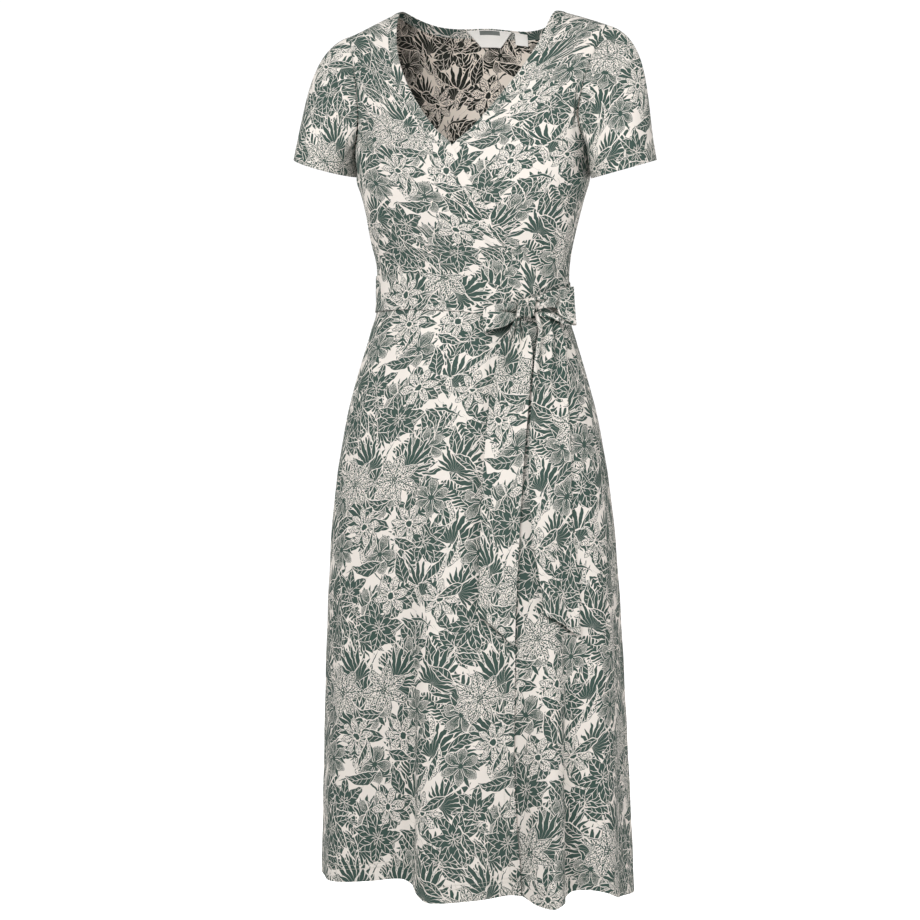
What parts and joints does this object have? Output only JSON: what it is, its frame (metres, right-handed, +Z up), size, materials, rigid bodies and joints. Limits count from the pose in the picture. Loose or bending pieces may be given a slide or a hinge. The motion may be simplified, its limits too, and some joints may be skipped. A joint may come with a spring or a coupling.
{
  "type": "wrap dress",
  "caption": "Knee-length wrap dress with short set-in sleeves, a crossed V neck with a narrow band and a tie belt in a bow at the side, filled out as worn with an open neck, cuffs and hem.",
  "frame": {"origin": "midway between the two high shoulder points, where the wearer's shoulders carry the dress", "axes": "+Z up, front towards -Y, the wearer's left towards +X"},
  "size_m": [0.4812, 0.3543, 1.1416],
  "materials": {
    "printed_cloth": "matte knitted jersey, dark green leaf and flower print on a pale pink-cream ground",
    "printed_band": "the same printed jersey, folded double",
    "printed_belt": "the same printed jersey, folded double and pressed",
    "thread": "matte thread chain",
    "label_tape": "smooth woven label tape, blank"
  },
  "bodies": {
    "root": {"bodice_front_right": "printed_cloth", "bodice_front_left": "printed_cloth", "bodice_back": "printed_cloth", "sleeve_right": "printed_cloth", "sleeve_left": "printed_cloth", "skirt_front_right": "printed_cloth", "skirt_front_left": "printed_cloth", "skirt_back": "printed_cloth", "neck_band_right": "printed_band", "neck_band_left": "printed_band", "neck_band_back": "printed_band", "belt_band": "printed_belt", "belt_knot": "printed_belt", "bow_loop_inner": "printed_belt", "bow_loop_outer": "printed_belt", "belt_tail_inner": "printed_belt", "belt_tail_outer": "printed_belt", "belt_loop_right": "thread", "belt_loop_left": "thread", "neck_label": "label_tape", "size_label": "label_tape"}
  },
  "joints": []
}
